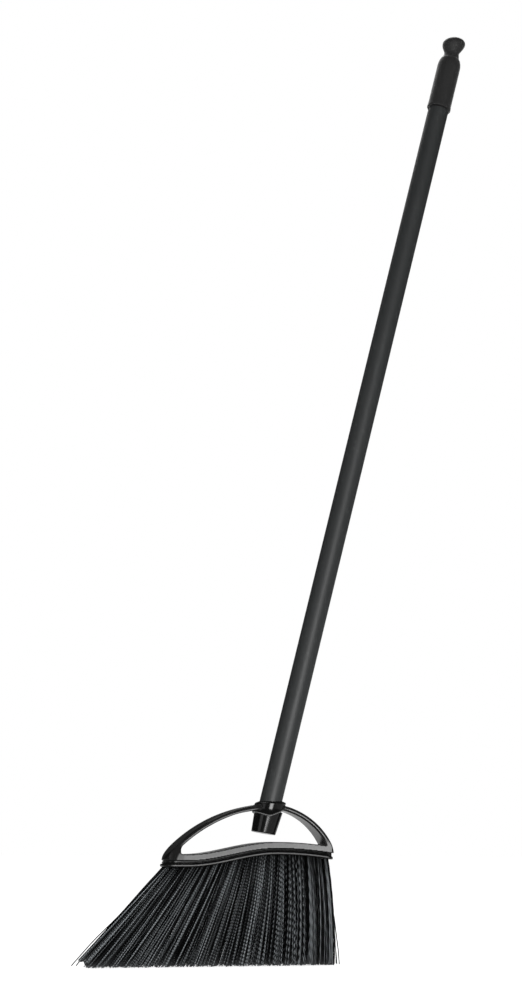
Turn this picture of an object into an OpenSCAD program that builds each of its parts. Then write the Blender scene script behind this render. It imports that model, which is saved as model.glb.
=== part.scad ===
// Lobby broom: an arched moulded head with fanned bristles, screwed to a leaning steel handle.
// The broom stands on its bristle tips, with its sweeping edge along X and its front towards -Y.

/* [Handle] */
// Outside diameter of the handle tube
tube_d = 22.2; // [19:0.1:26]
// Wall of the handle tube
tube_wall = 0.5; // [0.4:0.05:1.2]
// Length of the handle tube
tube_len = 832.5; // [500:0.5:1200]
// Lean of the handle from upright, in degrees
handle_lean = 14; // [6:0.5:20]

/* [Grip] */
// Diameter of the grip's plain body
grip_d = 25.3; // [24:0.1:32]
// Diameter of the flared rim at the grip's lower end
grip_rim_d = 26; // [25.4:0.1:34]
// Height of the flared rim
grip_rim_h = 4; // [2:0.5:8]
// Length of tube that the grip covers
grip_cover = 51; // [30:1:80]
// Height of the shoulder between the body and the neck
grip_shoulder_h = 14; // [8:0.5:20]
// Diameter of the hang-up neck
neck_d = 16; // [10:0.2:20]
// Height of the hang-up neck
neck_h = 4; // [2:0.5:10]
// Diameter of the hang-up knob, which stands level on the leaning neck
knob_d = 24.4; // [20:0.1:26]
// Diameter of the knob's underside at its foot, inside the neck
knob_foot_d = 10; // [6:0.2:10.4]
// Height of the knob from its foot to its widest ring
knob_under_h = 11.5; // [8:0.5:16]
// Height of the knob's upright rim under that ring
knob_rim_h = 2; // [1:0.1:4]
// Height of the knob's dome over that ring
knob_dome_h = 7.2; // [5:0.1:14]

/* [Thread] */
// Outside diameter of the tip's thread
thread_d = 19; // [16:0.1:20]
// Distance that one turn of the thread climbs
thread_pitch = 5.08; // [4:0.01:6]
// Height of the thread's ridge
thread_ridge_h = 2; // [1.2:0.1:2.4]
// Width of the ridge at its crest
thread_crest_w = 1.4; // [1:0.1:1.6]
// Width of the ridge at its root
thread_root_w = 2.5; // [2:0.1:2.8]
// Length of the tip's plug inside the tube
tip_plug_len = 32; // [15:1:60]
// Thickness of the tip's flange under the tube
tip_flange_t = 2; // [1:0.1:4]

/* [Head cap] */
// Length of the cap along the sweeping edge
cap_len = 173; // [150:1:220]
// Depth of the cap at its rail
cap_depth = 30; // [28:0.5:40]
// Depth of the arch at its crown
crown_depth = 24; // [18:0.5:26]
// Height of the cap's face along the rail
cap_h = 6.2; // [4:0.1:10]
// Wall of the cap around the block's tongue
cap_wall = 2.2; // [1.5:0.1:2.8]
// Rounding of the cap's corners on the long side of the arch, seen from above
cap_long_corner_r = 13; // [4:0.5:13.5]
// Rounding of the cap's corners on the short side of the arch, seen from above
cap_short_corner_r = 3.5; // [3:0.5:12]
// Height of the arch's crown over the low end of the rail
arch_h = 49.8; // [42:0.2:70]
// Thickness of the arch's band
band_t = 5; // [3:0.1:8]
// Place of the crown along the cap, from the cap's middle
crown_x = 23.5; // [10:0.5:30]
// Distance that the long side of the arch has its apex past the crown
long_apex_shift = 5; // [0:0.5:12]
// Distance that the short side of the arch has its apex past the crown
short_apex_shift = 4.5; // [0:0.5:8]
// Height of the upright end of the cap below each arch
foot_h = 3; // [2:0.1:8]
// Width of the thick foot beside the window's low end
window_foot_w = 14; // [9:0.5:20]
// Rounding of the window's low corner beside that foot
window_corner_r = 3; // [1:0.1:3.4]
// Rise of the rail from its low end to its crest
rail_rise = 12.3; // [4:0.1:16]
// Fall of the rail from its crest to the short end
rail_fall = 4.7; // [0:0.1:7]
// Place where the rail starts to rise, from the cap's middle
rail_valley_x = -65; // [-75:1:-40]
// Place of the rail's crest, from the cap's middle
rail_crest_x = 27; // [15:1:40]

/* [Socket] */
// Radius of the collar that the handle enters
collar_r = 15.6; // [14.5:0.1:18]
// Height of the collar's flat top over the crown
collar_rise = 1; // [0:0.1:4]
// Drop of the collar's rounded front below the crown
collar_drop = 11.7; // [8:0.1:16]
// Radius of the rounded lower edge of the collar, seen from the front
collar_edge_r = 18.2; // [16:0.1:24]
// Reach of the socket below the crown, along the handle
socket_reach = 29.7; // [24:0.1:40]
// Radius of the socket's lower end
socket_end_r = 12.2; // [11.8:0.1:14]
// Radius of the socket where it leaves the collar
socket_top_r = 14.2; // [12.5:0.1:15]
// Rounding of the socket's lower edge
socket_round_r = 1.6; // [0.5:0.1:3]
// Thickness of the socket's closed end
socket_floor_t = 2; // [1.2:0.1:4]
// Depth of the shoulder that the tip's flange rests on, below the crown, along the handle
seat_depth = 8.2; // [5:0.1:12]

/* [Bristle block] */
// Height of the head's lower edge over the floor at its low end
trim_h = 95; // [60:1:140]
// Height of the whole rail, from the window's edge to the lip's underside
rail_h = 12.5; // [11:0.1:18]
// Distance that the lip stands out past the cap
lip_over = 1.2; // [0.8:0.1:4]
// Rounding of the lip's corners, seen from above
lip_corner_r = 13; // [6:0.5:14.5]
// Height of the shadow groove between the cap and the lip
groove_h = 3.2; // [1:0.1:4]
// Depth of the shadow groove
groove_in = 1.2; // [0.5:0.1:2]

/* [Bristles] */
// Number of tuft strips side by side along the head
strip_count = 17; // [10:1:20]
// Distance from the cap's end to the first tuft strip
strip_margin = 3.5; // [3:0.05:10]
// Depth of a tuft strip, from front to back
strip_depth = 23; // [21.5:0.5:24.5]
// Thickness of a tuft strip's backing
strip_t = 2; // [1.2:0.1:2.4]
// Number of tufts in a strip, from front to back
tuft_rows = 4; // [2:1:4]
// Distance between the rows of tufts
row_pitch = 6.2; // [5:0.1:6.4]
// Distance that the tips reach past the cap on the long side
long_overhang = 75.5; // [30:0.5:100]
// Distance that the tips reach past the cap on the short side
short_overhang = 0; // [0:0.5:30]
// Distance between the rows of tufts at their tips
tip_row_pitch = 9.6; // [7:0.1:12]
// Width of a strand at its root
strand_root_w = 0.9; // [0.5:0.05:1.1]
// Width of a strand at its tip
strand_tip_w = 1.6; // [0.8:0.05:2]
// Distance between the strands of a tuft at their roots
strand_gap = 1.45; // [1.3:0.05:1.8]
// Distance between the strands of a tuft at their tips
strand_tip_gap = 3.7; // [2.5:0.1:4.2]

/* [Hidden] */
// Gap on each side between pieces of the head that are fitted into each other
seat_fit = 0.1;
// Gap on each side between the tube and the grip
grip_fit = 0.05;
// Gap on each side between the tube and the plug of its tip
plug_fit = 0.02;
// Gap between the thread and its socket, and between the handle and the collar
thread_fit = 0.35;
// Gap under the tip's end, and over the tube's upper end
end_gap = 0.5;
// How far a cut runs past the face that it opens
overrun = 1;
// How far a joined shape is sunk into what carries it
sink = 0.6;
// Rounding of the grip's lower edge
grip_edge_r = 1.2;
// Length of the slope from the grip's rim to its body
grip_blend_h = 3;
// Height of the strands' flat-cut ends over the floor
floor_z = 0;

// Steps along the rail's curve, round a thread and along a curved outline
rail_steps = 56;
strip_steps = 4;
turn_steps = 24;
curve_steps = 10;
$fn = 96;

// Strands of a tuft, in strand gaps from its middle
strand_shares = [[-1, -0.6], [0, -0.6], [1, -0.6], [-1, 0.6], [0, 0.6], [1, 0.6]];
// Place of a tuft from its strip's middle, in strip widths, on odd and even rows
stagger_share = 0.25;

tube_r = tube_d / 2;
tube_inner_r = tube_r - tube_wall;
grip_r = grip_d / 2;
grip_rim_r = grip_rim_d / 2;
grip_bore_r = tube_r + grip_fit;
neck_r = neck_d / 2;
knob_r = knob_d / 2;
knob_foot_r = knob_foot_d / 2;
thread_r = thread_d / 2;
core_r = thread_r - thread_ridge_h;

cap_end = cap_len / 2;
rail_low_z = trim_h + rail_h;
crown_z = rail_low_z + arch_h;
cap_pocket_end = cap_end - cap_wall;
cap_pocket_depth = cap_depth - 2 * cap_wall;
strips_len = cap_len - 2 * strip_margin;
strips_end = strips_len / 2;
strip_pitch = strips_len / strip_count;
sweep_len = cap_len + long_overhang + short_overhang;

// Arch radii: each arc has its apex at the crown's height and meets the cap's end at the foot's height
long_apex_x = crown_x + long_apex_shift;
short_apex_x = crown_x - short_apex_shift;
long_foot_drop = crown_z - (rail_z(-cap_end) - cap_h + foot_h);
short_foot_drop = crown_z - (rail_z(cap_end) - cap_h + foot_h);
long_arch_r = arc_radius(long_apex_x + cap_end, long_foot_drop);
short_arch_r = arc_radius(cap_end - short_apex_x, short_foot_drop);

// Places along the handle's axis, counted from where it meets the floor
crown_s = crown_z / cos(handle_lean);
axis_foot_x = crown_x - crown_z * tan(handle_lean);
socket_end_s = crown_s - socket_reach;
seat_s = crown_s - seat_depth;
tip_end_s = socket_end_s + socket_floor_t + end_gap;
tube_start_s = seat_s + tip_flange_t;
tube_end_s = tube_start_s + tube_len;
grip_start_s = tube_end_s - grip_cover;

// Heights on the grip, counted from its lower end
grip_bore_h = grip_cover + end_gap;
shoulder_h = grip_bore_h + sink;
neck_start_h = shoulder_h + grip_shoulder_h;
knob_start_h = neck_start_h + neck_h;
knob_ring_h = knob_start_h + knob_under_h;

// The whole broom is centred on the box that it fills
first_tuft_x = -strips_end + strip_pitch * (1 / 2 - stagger_share);
long_reach = tip_x(first_tuft_x) - strand_tip_gap - strand_tip_w / 2;
short_reach = axis_foot_x + (grip_start_s + knob_ring_h) * sin(handle_lean) + knob_r;
centre_x = (long_reach + short_reach) / 2;

cap_colour = [0.05, 0.05, 0.055];
block_colour = [0.04, 0.04, 0.045];
bristle_colour = [0.12, 0.13, 0.14];
tube_colour = [0.24, 0.25, 0.27];
tip_colour = [0.08, 0.08, 0.09];
grip_colour = [0.09, 0.09, 0.1];

function strip_name(i) = str("tuft_strip_", i < 10 ? "0" : "", i);

// Radius of the arc that has its apex this far over, and this far along from, another of its points
function arc_radius(along, drop) = (along * along + drop * drop) / (2 * drop);

// Height of the rail's top edge: flat, then a smooth rise to the crest, then a gentle fall
function rise_part(x) = (1 - cos(180 * (x - rail_valley_x) / (rail_crest_x - rail_valley_x))) / 2;
function fall_part(x) = pow((x - rail_crest_x) / (cap_end - rail_crest_x), 2);
function rail_z(x) = rail_low_z
    + (x < rail_valley_x ? 0
     : x < rail_crest_x ? rail_rise * rise_part(x)
     : rail_rise - rail_fall * fall_part(x));

// A band that follows the rail between two depths below its top edge
function rail_band(x0, x1, upper, lower, steps) = concat(
    [for (i = [0 : steps]) let(x = x0 + (x1 - x0) * i / steps) [x, rail_z(x) - upper]],
    [for (i = [steps : -1 : 0]) let(x = x0 + (x1 - x0) * i / steps) [x, rail_z(x) - lower]]
);

// A stretch of an ellipse about a centre, between two angles
function ellipse_arc(centre, a, b, from, to) =
    [for (i = [0 : curve_steps]) let(t = from + (to - from) * i / curve_steps)
        [centre[0] + a * cos(t), centre[1] + b * sin(t)]];

// Puts the layout, which is drawn from the cap's middle, on the broom's own origin
module placed() {
    translate([-centre_x, 0, 0]) children();
}

// Puts a shape that is drawn upright on the handle's axis, at a distance along it
module on_axis(s) {
    translate([axis_foot_x, 0, 0]) rotate([0, handle_lean, 0]) translate([0, 0, s]) children();
}

// Turns an outline drawn in X and Z into a solid of some depth, centred on the broom's middle
module across(depth) {
    rotate([90, 0, 0]) linear_extrude(height = depth, center = true) children();
}

module rail_ribbon(end, upper, lower, depth) {
    across(depth) polygon(rail_band(-end, end, upper, lower, rail_steps));
}

// The same with ends and sides that are cut to a plan with round corners
module round_ribbon(end, upper, lower, depth, long_r, short_r) {
    intersection() {
        rail_ribbon(end + overrun, upper, lower, depth + 2 * overrun);
        round_plan(end, depth, long_r, short_r);
    }
}

// A block from the floor to over the crown whose corners, seen from above, have a radius at each end
module round_plan(end, depth, long_r, short_r) {
    linear_extrude(height = crown_z + collar_rise + overrun) {
        translate([long_r - end, -depth / 2]) square([2 * end - long_r - short_r, depth]);
        for (corner = [[-1, long_r], [1, short_r]])
            translate([corner[0] * (end - corner[1]), 0]) {
                square([2 * corner[1], depth - 2 * corner[1]], center = true);
                for (y = [-1, 1])
                    translate([0, y * (depth / 2 - corner[1])]) circle(corner[1]);
            }
    }
}

// The two arcs of the arch, thinned by an inset
module arch_disc(inset) {
    intersection() {
        translate([long_apex_x, crown_z - long_arch_r]) circle(long_arch_r - inset, $fn = 240);
        translate([-cap_len, 0]) square([cap_len + crown_x, 2 * crown_z]);
    }
    intersection() {
        translate([short_apex_x, crown_z - short_arch_r]) circle(short_arch_r - inset, $fn = 160);
        translate([crown_x, 0]) square([cap_len, 2 * crown_z]);
    }
}

module cap_outline() {
    intersection() {
        arch_disc(0);
        polygon(rail_band(-cap_end - overrun, cap_end + overrun, -2 * arch_h, cap_h, rail_steps));
    }
}

module window_outline() {
    window_start = -cap_end + window_foot_w;
    difference() {
        intersection() {
            arch_disc(band_t);
            polygon(rail_band(window_start, cap_end, -2 * arch_h, 0, rail_steps));
        }
        difference() {
            translate([window_start - overrun, rail_low_z - overrun])
                square(window_corner_r + overrun);
            translate([window_start + window_corner_r, rail_low_z + window_corner_r])
                circle(window_corner_r);
        }
    }
}

// The cap seen from its end: upright along the rail and narrower towards the crown
module end_taper() {
    rail_top_z = rail_low_z + rail_rise;
    top_z = crown_z + overrun;
    rotate([90, 0, 90]) linear_extrude(height = cap_len + 2 * overrun, center = true)
        polygon([
            [-cap_depth / 2, 0],
            [cap_depth / 2, 0],
            [cap_depth / 2, rail_top_z],
            [crown_depth / 2, top_z],
            [-crown_depth / 2, top_z],
            [-cap_depth / 2, rail_top_z]
        ]);
}

// The collar: a round boss on the handle's axis with a level top and a rounded front edge
module collar() {
    intersection() {
        on_axis(socket_end_s) cylinder(r = collar_r, h = 2 * socket_reach);
        across(2 * cap_depth)
            intersection() {
                translate([crown_x, crown_z - collar_drop + collar_edge_r])
                    circle(collar_edge_r);
                translate([-cap_end, 0]) square([cap_len, crown_z + collar_rise]);
            }
    }
}

module socket_nose() {
    on_axis(socket_end_s) rotate_extrude()
        polygon(concat(
            [[0, 0]],
            ellipse_arc([socket_end_r - socket_round_r, socket_round_r],
                        socket_round_r, socket_round_r, -90, 0),
            [[socket_top_r, socket_reach - seat_depth + tip_flange_t],
             [0, socket_reach - seat_depth + tip_flange_t]]
        ));
}

// Points of a helical ridge: a four-cornered section carried round the axis and up the pitch
function ridge_points(inner_r, outer_r, inner_w, outer_w, turns) =
    [for (i = [0 : turns * turn_steps])
        let(a = 360 * (i + 1 / 2) / turn_steps, rise = thread_pitch * i / turn_steps)
            for (p = [[inner_r, -inner_w / 2], [outer_r, -outer_w / 2],
                      [outer_r, outer_w / 2], [inner_r, inner_w / 2]])
                [p[0] * cos(a), p[0] * sin(a), rise + p[1]]];

function ridge_faces(turns) = let(last = 4 * turns * turn_steps) concat(
    [[3, 2, 1], [3, 1, 0], [last, last + 1, last + 2], [last, last + 2, last + 3]],
    [for (i = [0 : turns * turn_steps - 1], k = [0 : 3])
        let(a = 4 * i + k, b = 4 * i + (k + 1) % 4) [a, b, b + 4]],
    [for (i = [0 : turns * turn_steps - 1], k = [0 : 3])
        let(a = 4 * i + k, b = 4 * i + (k + 1) % 4) [a, b + 4, a + 4]]
);

// A right-handed ridge, widened on all sides by a fit
module thread_ridge(fit, turns) {
    polyhedron(
        ridge_points(core_r + fit - sink, thread_r + fit,
                     thread_root_w + 2 * fit, thread_crest_w + 2 * fit, turns),
        ridge_faces(turns)
    );
}

// The tip's ridge starts one root width over the tip's end and stops short of its flange.
// The socket's groove starts one step before the ridge and runs out into the wider bore.
ridge_start_s = tip_end_s + thread_root_w;
ridge_turns = floor(turn_steps * (seat_s - ridge_start_s - thread_root_w) / thread_pitch) / turn_steps;
groove_turns = ceil((seat_s - ridge_start_s + thread_root_w) / thread_pitch);

// The hollow of the socket: a threaded bore, and a wider bore over it for the tube
module socket_hollow() {
    bore_start_s = socket_end_s + socket_floor_t;
    on_axis(bore_start_s) cylinder(r = core_r + thread_fit, h = seat_s - bore_start_s + overrun);
    on_axis(ridge_start_s - thread_pitch / turn_steps) rotate(-360 / turn_steps)
        thread_ridge(thread_fit, groove_turns);
    on_axis(seat_s) cylinder(r = tube_r + thread_fit, h = socket_reach);
}

module head_cap() {
    color(cap_colour) placed() difference() {
        union() {
            intersection() {
                across(cap_depth + 2 * overrun) difference() {
                    cap_outline();
                    window_outline();
                }
                round_plan(cap_end, cap_depth, cap_long_corner_r, cap_short_corner_r);
                end_taper();
            }
            collar();
            socket_nose();
        }
        round_ribbon(cap_pocket_end, cap_wall, cap_h + overrun, cap_pocket_depth,
                     cap_long_corner_r - cap_wall, cap_short_corner_r - cap_wall);
        socket_hollow();
    }
}

module bristle_block() {
    tongue_end = cap_pocket_end - seat_fit;
    tongue_depth = cap_pocket_depth - 2 * seat_fit;
    lip_end = cap_end + lip_over;
    lip_depth = cap_depth + 2 * lip_over;
    lip_upper = cap_h + groove_h;
    tongue_in = cap_wall + seat_fit;
    groove_r = lip_corner_r - lip_over - groove_in;
    color(block_colour) placed() difference() {
        union() {
            round_ribbon(tongue_end, tongue_in, lip_upper + sink, tongue_depth,
                         cap_long_corner_r - tongue_in, cap_short_corner_r - tongue_in);
            round_ribbon(cap_end - groove_in, cap_h + seat_fit, lip_upper + sink,
                         cap_depth - 2 * groove_in, groove_r, groove_r);
            round_ribbon(lip_end, lip_upper, rail_h, lip_depth, lip_corner_r, lip_corner_r);
        }
        rail_ribbon(strips_end + seat_fit, rail_h - strip_t - seat_fit, rail_h + overrun,
                    strip_depth + 2 * seat_fit);
    }
}

// Place of a tuft's tip on the floor, for a tuft that stands at x in the head
function tip_x(x) = -cap_end - long_overhang + sweep_len * (x + strips_end) / strips_len;

// One strand: a four-sided taper from its root in the backing to its flat end on the floor
module strand(root, tip) {
    corner_shares = [[1, 1], [-1, 1], [-1, -1], [1, -1]];
    polyhedron(
        concat(
            [for (c = corner_shares) root + [c[0], c[1], 0] * strand_root_w / 2],
            [for (c = corner_shares) tip + [c[0], c[1], 0] * strand_tip_w / 2]
        ),
        concat(
            [[3, 2, 1], [3, 1, 0], [4, 5, 6], [4, 6, 7]],
            [for (i = [0 : 3]) [i, (i + 1) % 4, (i + 1) % 4 + 4]],
            [for (i = [0 : 3]) [i, (i + 1) % 4 + 4, i + 4]]
        )
    );
}

module tuft(x, row) {
    row_share = row - (tuft_rows - 1) / 2;
    for (share = strand_shares) {
        root_x = x + share[0] * strand_gap;
        root_y = row_share * row_pitch + share[1] * strand_gap;
        strand(
            [root_x, root_y, rail_z(root_x) - rail_h + sink],
            [tip_x(x) + share[0] * strand_tip_gap,
             row_share * tip_row_pitch + share[1] * strand_tip_gap, floor_z]
        );
    }
}

module tuft_strip(i) {
    x0 = -strips_end + (i - 1) * strip_pitch;
    middle_x = x0 + strip_pitch / 2;
    color(bristle_colour) placed() {
        across(strip_depth)
            polygon(rail_band(x0 + seat_fit / 2, x0 + strip_pitch - seat_fit / 2,
                              rail_h - strip_t, rail_h, strip_steps));
        for (row = [0 : tuft_rows - 1])
            tuft(middle_x + (row % 2 == 0 ? -1 : 1) * stagger_share * strip_pitch, row);
    }
}

module threaded_tip() {
    color(tip_colour) placed() {
        on_axis(tip_end_s) cylinder(r = core_r, h = seat_s - tip_end_s + sink);
        on_axis(ridge_start_s) thread_ridge(0, ridge_turns);
        on_axis(seat_s) cylinder(r = tube_r, h = tip_flange_t);
        on_axis(tube_start_s - sink) cylinder(r = tube_inner_r - plug_fit, h = tip_plug_len + sink);
    }
}

module handle_tube() {
    color(tube_colour) placed() on_axis(tube_start_s) difference() {
        cylinder(r = tube_r, h = tube_len);
        translate([0, 0, -overrun]) cylinder(r = tube_inner_r, h = tube_len + 2 * overrun);
    }
}

module hang_grip() {
    color(grip_colour) placed() {
        on_axis(grip_start_s) rotate_extrude()
            polygon(concat(
                [[grip_bore_r, 0]],
                ellipse_arc([grip_rim_r - grip_edge_r, grip_edge_r], grip_edge_r, grip_edge_r, -90, 0),
                [[grip_rim_r, grip_rim_h], [grip_r, grip_rim_h + grip_blend_h], [grip_r, shoulder_h]],
                ellipse_arc([neck_r, shoulder_h], grip_r - neck_r, grip_shoulder_h, 0, 90),
                [[neck_r, knob_ring_h], [0, knob_ring_h], [0, grip_bore_h], [grip_bore_r, grip_bore_h]]
            ));
        on_axis(grip_start_s + knob_ring_h) rotate([0, -handle_lean, 0]) rotate_extrude()
            polygon(concat(
                [[0, -knob_under_h], [knob_foot_r, -knob_under_h], [knob_r, -knob_rim_h]],
                ellipse_arc([0, 0], knob_r, knob_dome_h, 0, 90)
            ));
    }
}

head_cap();
bristle_block();
threaded_tip();
handle_tube();
hang_grip();
for (i = [1 : strip_count])
    tuft_strip(i);
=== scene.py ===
"""Lobby broom: an arched moulded head, fanned crimped bristles, a screwed-in handle and a hang-up grip."""
import math
from types import SimpleNamespace

import bmesh
import bpy
import numpy as np
from mathutils import Matrix, Vector


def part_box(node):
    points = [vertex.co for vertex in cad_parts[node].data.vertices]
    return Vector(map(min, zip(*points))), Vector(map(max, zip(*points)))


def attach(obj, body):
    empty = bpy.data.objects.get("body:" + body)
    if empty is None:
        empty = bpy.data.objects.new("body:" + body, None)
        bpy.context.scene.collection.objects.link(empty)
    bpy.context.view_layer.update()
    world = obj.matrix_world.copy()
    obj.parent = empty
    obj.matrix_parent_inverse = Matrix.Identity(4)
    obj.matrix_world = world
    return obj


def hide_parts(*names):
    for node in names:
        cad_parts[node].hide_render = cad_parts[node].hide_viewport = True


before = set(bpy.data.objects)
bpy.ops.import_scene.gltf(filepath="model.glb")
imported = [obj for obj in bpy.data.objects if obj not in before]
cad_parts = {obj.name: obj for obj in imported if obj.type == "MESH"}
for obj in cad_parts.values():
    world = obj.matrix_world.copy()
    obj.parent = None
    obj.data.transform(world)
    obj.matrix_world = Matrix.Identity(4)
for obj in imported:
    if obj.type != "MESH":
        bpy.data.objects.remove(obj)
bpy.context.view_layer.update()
MM = 0.001
TURN = 2 * math.pi
TINY = 1e-9
SHARP_ANGLE = math.radians(40)
WHITE = (1.0, 1.0, 1.0, 1.0)

# Sizes of the head in millimetres, as in the part's source. X is counted from the cap's middle.
CAP_END = 86.5
CAP_HALF_DEPTH = 15.0
CAP_H = 6.2
CAP_WALL = 2.2
LONG_CORNER_R = 13.0
SHORT_CORNER_R = 3.5
LIP_CORNER_R = 13.0
RAIL_LOW_Z = 107.5
RAIL_RISE = 12.3
RAIL_FALL = 4.7
RAIL_VALLEY_X = -65.0
RAIL_CREST_X = 27.0
RAIL_H = 12.5
CROWN_X = 23.5
CROWN_Z = 157.3
LONG_APEX_X = 28.5
LONG_ARCH_R = 151.264
SHORT_APEX_X = 19.0
SHORT_ARCH_R = 72.879
BAND_T = 5.0
BAND_LINE_IN = 2.9
LONG_BAND_THINNED = 0.7
THINNING_RUN = 20.0
WINDOW_START_X = -71.0
GROOVE_H = 3.2
GROOVE_IN = 1.2
GROOVE_BEAD_OUT = 0.8
GROOVE_BEAD_TOP = 1.7
GROOVE_BEAD_END = 2.7
LIP_OVER = 1.2
LIP_OVERLAP = 1.0
SEAT_FIT = 0.1
CENTRE_X = -CAP_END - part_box("head_cap")[0][0] / MM

# The hub: the cap's depth narrows beside the handle's axis, above the rail
HUB_HALF_DEPTH = 10.5
HUB_FLAT = 12.0
HUB_BLEND = 55.0
HUB_LOW = 4.0
HUB_RISE = 8.0

# The handle's axis, and places along it counted from where it meets the floor
LEAN = math.radians(14)
AXIS_FOOT_X = -15.7193
SOCKET_END_S = 132.416
SOCKET_FLOOR_T = 2.0
SEAT_S = 153.916
TIP_END_S = 134.916
TUBE_START_S = 155.916
TUBE_END_S = 988.416
GRIP_START_S = 937.416
TUBE_R = 11.1
TUBE_WALL = 0.5
TUBE_EDGE = 0.12
THREAD_R = 9.5
THREAD_CORE_R = 7.5
THREAD_PITCH = 5.08
THREAD_FIT = 0.35
THREAD_START = 2.5
THREAD_RUN_OUT = 1.0
THREAD_ROOT_HALF = 1.6
THREAD_CREST_HALF = 1.05

# The collar, with its flared and pointed lower edge and the bead on it, and the socket's nose
COLLAR_R = 15.2
COLLAR_RISE = 1.0
COLLAR_DROP = 11.7
COLLAR_CONE = 0.45
COLLAR_CONE_IN = 0.6
COLLAR_CONE_RUN = 4.0
COLLAR_FLARE = 0.03
COLLAR_FLARE_TOP = 4.5
COLLAR_FLARE_H = 7.5
COLLAR_EDGE_X = 18.2
COLLAR_EDGE_SLOPE = 0.4
COLLAR_EDGE_SOFT = 3.5
BEAD_R = 0.55
BEAD_IN = 0.1
BEAD_UP = 0.2
SOCKET_END_R = 12.2
SOCKET_TOP_R = 14.2
NOSE_LONGER = 0.3
NOSE_TILT = 0.08

# Rounding of the mouldings' edges, and fillets between their parts
OUTER_ROUND = 1.8
RAIL_ROUND = 1.0
BAND_ROUND = 1.3
BAND_ROUND_LOW = 2.0
BAND_ROUND_RISE = 6.0
WINDOW_CORNER_R = 2.2
LOWER_ROUND = 0.7
LIP_ROUND = 1.3
NECK_ROUND = 0.1
GROOVE_BEAD_ROUND = 0.45
TONGUE_ROUND = 0.4
COLLAR_TOP_ROUND = 0.9
COLLAR_EDGE_ROUND = 0.5
NOSE_ROUND = 0.9
NOSE_FILLET = 2.8
COLLAR_FILLET = 0.5


def to_row(points):
    """Points of the drawing put in the frame of the CAD model."""
    return (np.asarray(points, float) - (CENTRE_X, 0.0, 0.0)) * MM


def row_x(x):
    """An X of the drawing in the frame of the CAD model."""
    return (x - CENTRE_X) * MM


def between(share, low, high):
    """A value carried from low to high as the share goes from 0 to 1."""
    return low + share * (high - low)


def new_object(name, data):
    made = bpy.data.objects.new(name, data)
    bpy.context.scene.collection.objects.link(made)
    return made


def new_piece(name, mesh, material, body, slot, *nodes):
    """A finished piece that stands for its CAD nodes and rides on a body."""
    piece = new_object(name, mesh)
    mesh.name = name
    if not mesh.materials:
        mesh.materials.append(material)
    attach(piece, body)
    if nodes:
        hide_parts(*nodes)


# Node trees

class Value:
    """What a node gives. A number can be used in plain arithmetic."""

    def __init__(self, graph, socket):
        self.graph, self.socket = graph, socket

    __add__ = __radd__ = lambda a, b: a.graph.math("ADD", a, b)
    __mul__ = __rmul__ = lambda a, b: a.graph.math("MULTIPLY", a, b)
    __sub__ = lambda a, b: a.graph.math("SUBTRACT", a, b)
    __rsub__ = lambda a, b: a.graph.math("SUBTRACT", b, a)
    __truediv__ = lambda a, b: a.graph.math("DIVIDE", a, b)
    __mod__ = lambda a, b: a.graph.math("MODULO", a, b)
    __pow__ = lambda a, b: a.graph.math("POWER", a, b)
    __gt__ = lambda a, b: a.graph.math("GREATER_THAN", a, b)
    __abs__ = lambda a: a.graph.math("ABSOLUTE", a)


class Graph:
    """Adds nodes to a tree, with their settings and inputs."""

    def __init__(self, tree):
        self.tree = tree

    def fill(self, node, inputs):
        """Links a node's inputs to what other nodes give, or sets them to plain values."""
        for key, value in inputs.items():
            if isinstance(value, Value):
                self.tree.links.new(value.socket, node.inputs[key])
            else:
                node.inputs[key].default_value = value

    def node(self, kind, inputs=None, **settings):
        node = self.tree.nodes.new(kind)
        for key, value in settings.items():
            setattr(node, key, value)
        self.fill(node, inputs or {})
        return node

    def add(self, kind, inputs=None, pick=0, **settings):
        """Adds a node and gives one of its outputs."""
        return Value(self, self.node(kind, inputs, **settings).outputs[pick])

    def outputs(self, kind, inputs=None, **settings):
        """Adds a node and gives all its outputs by name."""
        return {s.name: Value(self, s) for s in self.node(kind, inputs, **settings).outputs}

    def math(self, operation, *values):
        return self.add("ShaderNodeMath", dict(enumerate(values)), operation=operation)

    def vector_math(self, operation, *values, pick=0):
        return self.add("ShaderNodeVectorMath", dict(enumerate(values)), pick, operation=operation)

    def vector(self, x, y, z):
        return self.add("ShaderNodeCombineXYZ", {0: x, 1: y, 2: z})

    def parts(self, vector):
        return self.outputs("ShaderNodeSeparateXYZ", {0: vector})

    def within(self, value, low, high):
        """A value held between two limits."""
        return self.math("MINIMUM", self.math("MAXIMUM", value, low), high)

    def ramp(self, value, start, end, high=1.0):
        """0 at the start and the high value at the end, held beyond both."""
        inputs = {"Value": value, "From Min": start, "From Max": end, "To Max": high}
        return self.add("ShaderNodeMapRange", inputs)

    def noise(self, where, scale, detail, roughness=0.5):
        inputs = {"Vector": where, "Scale": scale, "Detail": detail, "Roughness": roughness}
        return self.add("ShaderNodeTexNoise", inputs)

    def mask(self, label):
        """A value that the mesh carries at its points."""
        return self.add("ShaderNodeAttribute", pick="Fac", attribute_name=label)

    def mix_colour(self, factor, low, high):
        return self.add("ShaderNodeMix", {0: factor, 6: low, 7: high}, 2, data_type="RGBA")


def make_group(name, kind, sockets):
    """An empty node group, what it is given by name, and the node that takes its results."""
    tree = bpy.data.node_groups.new(name, kind)
    for label, direction, socket_kind, default in sockets:
        socket = tree.interface.new_socket(label, in_out=direction, socket_type=socket_kind)
        if default is not None:
            socket.default_value = default
    graph = Graph(tree)
    return graph, graph.outputs("NodeGroupInput"), graph.node("NodeGroupOutput")


def surface_group(name, scale, *results):
    """A shader node group that takes a place and a scale."""
    graph, given, result = make_group(name, "ShaderNodeTree", (
        ("Vector", "INPUT", "NodeSocketVector", None),
        ("Scale", "INPUT", "NodeSocketFloat", scale),
        *((label, "OUTPUT", "NodeSocketFloat", None) for label in results),
    ))
    return graph, given["Vector"], given["Scale"], result


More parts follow.
